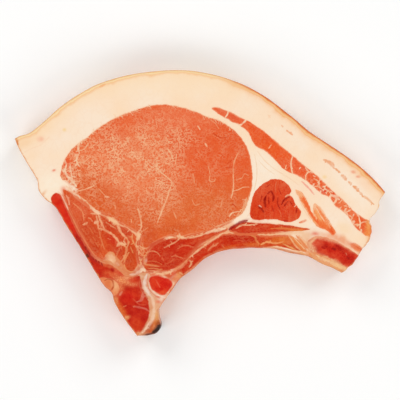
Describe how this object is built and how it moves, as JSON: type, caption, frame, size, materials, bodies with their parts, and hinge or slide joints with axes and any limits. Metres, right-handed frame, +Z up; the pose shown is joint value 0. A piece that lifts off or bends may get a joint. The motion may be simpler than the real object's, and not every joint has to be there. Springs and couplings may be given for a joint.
{
  "type": "pork chop",
  "caption": "Raw bone-in pork loin chop with the rind on: a round loin eye, smaller muscles, backbone and rib bone in a band of white back fat.",
  "frame": {"origin": "middle of the bounding box, on the plane of the cut face that the chop lies on", "axes": "+Z up out of the shown cut face, +X from the backbone towards the belly end, +Y from the rib side towards the rind"},
  "size_m": [0.186, 0.1334, 0.0208],
  "materials": {
    "fat_and_rind": "firm cream-white back fat, slightly waxy, with a thin yellow rind",
    "loin_eye": "moist pink-orange lean with fine pale marbling",
    "cover_muscle": "moist orange-red lean crossed by thin fat seams",
    "round_muscle": "moist dark red lean",
    "flank_muscle": "moist pale orange lean",
    "back_muscle": "moist red lean with branching fat seams",
    "inner_muscle": "moist red lean with thin seams",
    "rib_muscle": "moist red lean with pale streaks",
    "bone": "sawn spongy bone full of red marrow, with a thin pale hard rim",
    "spinal_cord": "soft pale orange",
    "gristle": "smooth whitish gristle, browned at its free end"
  },
  "bodies": {
    "root": {"fat_and_rind": "fat_and_rind", "loin_eye": "loin_eye", "cover_muscle": "cover_muscle", "round_muscle": "round_muscle", "flank_muscle": "flank_muscle", "back_muscle": "back_muscle", "inner_muscle": "inner_muscle", "rib_muscle_upper": "rib_muscle", "rib_muscle_lower": "rib_muscle", "vertebra": "bone", "rib_head": "bone", "rib_end": "bone", "spinal_cord": "spinal_cord", "gristle": "gristle"}
  },
  "joints": []
}
